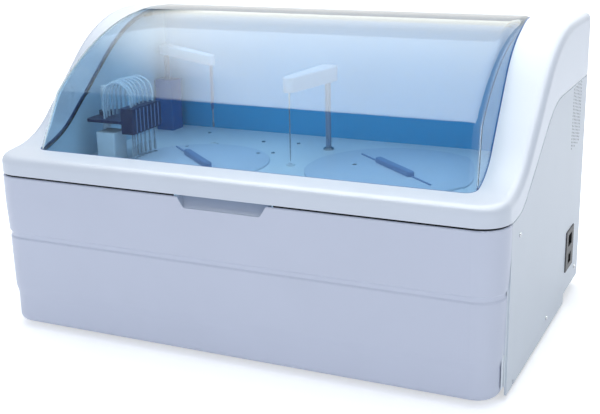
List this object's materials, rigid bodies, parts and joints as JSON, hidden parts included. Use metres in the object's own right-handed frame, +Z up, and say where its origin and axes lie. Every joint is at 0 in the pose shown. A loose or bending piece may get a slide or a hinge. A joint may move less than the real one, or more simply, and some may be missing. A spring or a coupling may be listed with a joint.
{
  "type": "chemistry analyzer",
  "caption": "Bench-top clinical chemistry analyzer with a hinged lid and domed blue window over its turntables, sample probe, mixer and wash station.",
  "frame": {"origin": "middle of the footprint on the surface that the rubber feet stand on", "axes": "+X to the right seen from the front, +Y to the rear, +Z up; the front panel faces -Y"},
  "size_m": [0.8636, 0.58, 0.5045],
  "materials": {
    "sheet_steel": "zinc plated",
    "frame_steel": "powder coat",
    "rubber": "moulded",
    "case_plastic": "satin",
    "side_panel": "satin paint",
    "lid_white": "satin",
    "deck": "moulded",
    "chamber": "satin paint",
    "aluminium": "machined",
    "motor_black": "satin",
    "cover_grey": "moulded",
    "pot_white": "moulded",
    "steel": "ground",
    "dark_blue_plastic": "moulded",
    "navy_plastic": "moulded",
    "tower_white": "moulded",
    "board_green": "solder mask",
    "black_plastic": "moulded",
    "brass": "turned",
    "window_blue": "polished acrylic",
    "clear_plastic": "clear moulded",
    "clear_tube": "clear hose",
    "bottle_white": "blow moulded",
    "arm_white": "moulded"
  },
  "bodies": {
    "base": {"base_tray": "sheet_steel", "rubber_feet": "rubber", "chassis_frame": "frame_steel", "front_panel": "case_plastic", "right_side_panel": "side_panel", "left_side_panel": "side_panel", "rear_panel": "side_panel", "deck_plate": "deck", "chamber_wall": "chamber", "reaction_bath": "aluminium", "spindle_housings": "aluminium", "stepper_motors": "motor_black", "drive_belts": "rubber", "reaction_cover": "cover_grey", "reagent_pot": "pot_white", "photometer": "motor_black", "shaft_guides": "steel", "lift_rails": "steel", "mixer_tower": "dark_blue_plastic", "wash_tower": "tower_white", "rinse_wells": "tower_white", "dosing_pump": "aluminium", "power_supply": "sheet_steel", "control_board": "board_green", "pump_block": "motor_black", "mains_inlet": "black_plastic", "fan_frame": "black_plastic", "hose_ports": "brass", "hinge_base_leaves": "steel", "hinge_pins": "steel", "strut_feet": "sheet_steel", "case_screws": "steel"},
    "lid": {"lid_shell": "lid_white", "window": "window_blue", "window_gasket": "rubber", "hinge_lid_leaves": "steel", "strut_heads": "sheet_steel", "lid_bumpers": "rubber"},
    "strut_cylinders": {"strut_cylinders": "motor_black"},
    "strut_rods": {"strut_rods": "steel"},
    "reaction_turntable": {"reaction_disk": "aluminium", "cuvettes": "clear_plastic"},
    "reaction_motor_pulley": {"reaction_motor_pulley": "steel"},
    "reagent_turntable": {"reagent_disk": "aluminium", "reagent_bottles": "bottle_white", "sample_cups": "clear_plastic"},
    "reagent_motor_pulley": {"reagent_motor_pulley": "steel"},
    "reagent_cover": {"reagent_cover": "cover_grey"},
    "probe_carriage": {"probe_carriage": "aluminium"},
    "probe_arm": {"probe_arm": "arm_white", "probe_needle": "steel"},
    "mixer_carriage": {"mixer_carriage": "aluminium"},
    "mixer_arm": {"mixer_arm": "arm_white"},
    "mixer_paddle": {"mixer_paddle": "steel"},
    "wash_head": {"wash_head": "navy_plastic", "wash_nozzles": "steel", "wash_tubes": "clear_tube"},
    "dosing_plunger": {"dosing_plunger": "steel"},
    "fan_rotor": {"fan_rotor": "black_plastic"},
    "power_rocker": {"power_rocker": "black_plastic"}
  },
  "joints": [
    {"name": "lid_hinge", "type": "hinge", "parent": "base", "child": "lid", "pos_m": [0, 0.282, 0.394], "axis": [-1, 0, 0], "range_deg": [0, 60]},
    {"name": "strut_swing", "type": "hinge", "parent": "base", "child": "strut_cylinders", "pos_m": [0, 0.18, 0.272], "axis": [-1, 0, 0], "range_deg": [-0.5, 29.32]},
    {"name": "strut_slide", "type": "slide", "parent": "strut_cylinders", "child": "strut_rods", "axis": [0, -0.1513, 0.9885], "range_m": [-0.0005, 0.09328]},
    {"name": "reaction_spin", "type": "hinge", "parent": "base", "child": "reaction_turntable", "pos_m": [-0.168, -0.065, 0.251], "axis": [0, 0, 1], "continuous": true},
    {"name": "reaction_motor_spin", "type": "hinge", "parent": "base", "child": "reaction_motor_pulley", "pos_m": [-0.082, -0.065, 0.104], "axis": [0, 0, 1], "continuous": true},
    {"name": "reagent_spin", "type": "hinge", "parent": "base", "child": "reagent_turntable", "pos_m": [0.17, 0, 0.251], "axis": [0, 0, 1], "continuous": true},
    {"name": "reagent_motor_spin", "type": "hinge", "parent": "base", "child": "reagent_motor_pulley", "pos_m": [0.084, 0, 0.104], "axis": [0, 0, 1], "continuous": true},
    {"name": "reagent_cover_lift", "type": "slide", "parent": "base", "child": "reagent_cover", "axis": [0, 0, 1], "range_m": [0, 0.1]},
    {"name": "probe_lift", "type": "slide", "parent": "base", "child": "probe_carriage", "axis": [0, 0, 1], "range_m": [-0.02, 0.03]},
    {"name": "probe_turn", "type": "hinge", "parent": "probe_carriage", "child": "probe_arm", "pos_m": [0.008, 0.1, 0.384], "axis": [0, 0, -1], "range_deg": [-50, 45]},
    {"name": "mixer_lift", "type": "slide", "parent": "base", "child": "mixer_carriage", "axis": [0, 0, 1], "range_m": [-0.046, 0]},
    {"name": "mixer_turn", "type": "hinge", "parent": "mixer_carriage", "child": "mixer_arm", "pos_m": [-0.357, 0.155, 0.406], "axis": [0, 0, -1], "range_deg": [0, 17.4]},
    {"name": "mixer_spin", "type": "hinge", "parent": "mixer_arm", "child": "mixer_paddle", "pos_m": [-0.20608, 0.06252, 0.291], "axis": [0, 0, 1], "continuous": true},
    {"name": "wash_lift", "type": "slide", "parent": "base", "child": "wash_head", "axis": [0, 0, 1], "range_m": [-0.015, 0.022]},
    {"name": "dosing_stroke", "type": "slide", "parent": "base", "child": "dosing_plunger", "axis": [0, 0, 1], "range_m": [0, 0.04]},
    {"name": "fan_spin", "type": "hinge", "parent": "base", "child": "fan_rotor", "pos_m": [0.17, 0.262, 0.168], "axis": [0, 1, 0], "continuous": true},
    {"name": "power_rocker_tilt", "type": "hinge", "parent": "base", "child": "power_rocker", "pos_m": [0.422, 0.1725, 0.084], "axis": [0, -1, 0], "range_deg": [0, 16]}
  ],
  "couplings": [
    {"joint": "strut_swing", "follows": "lid_hinge", "ratio": 0.48024},
    {"joint": "strut_slide", "follows": "lid_hinge", "m_per_rad": 0.0886},
    {"joint": "reaction_motor_spin", "follows": "reaction_spin", "ratio": 4},
    {"joint": "reagent_motor_spin", "follows": "reagent_spin", "ratio": 4}
  ]
}
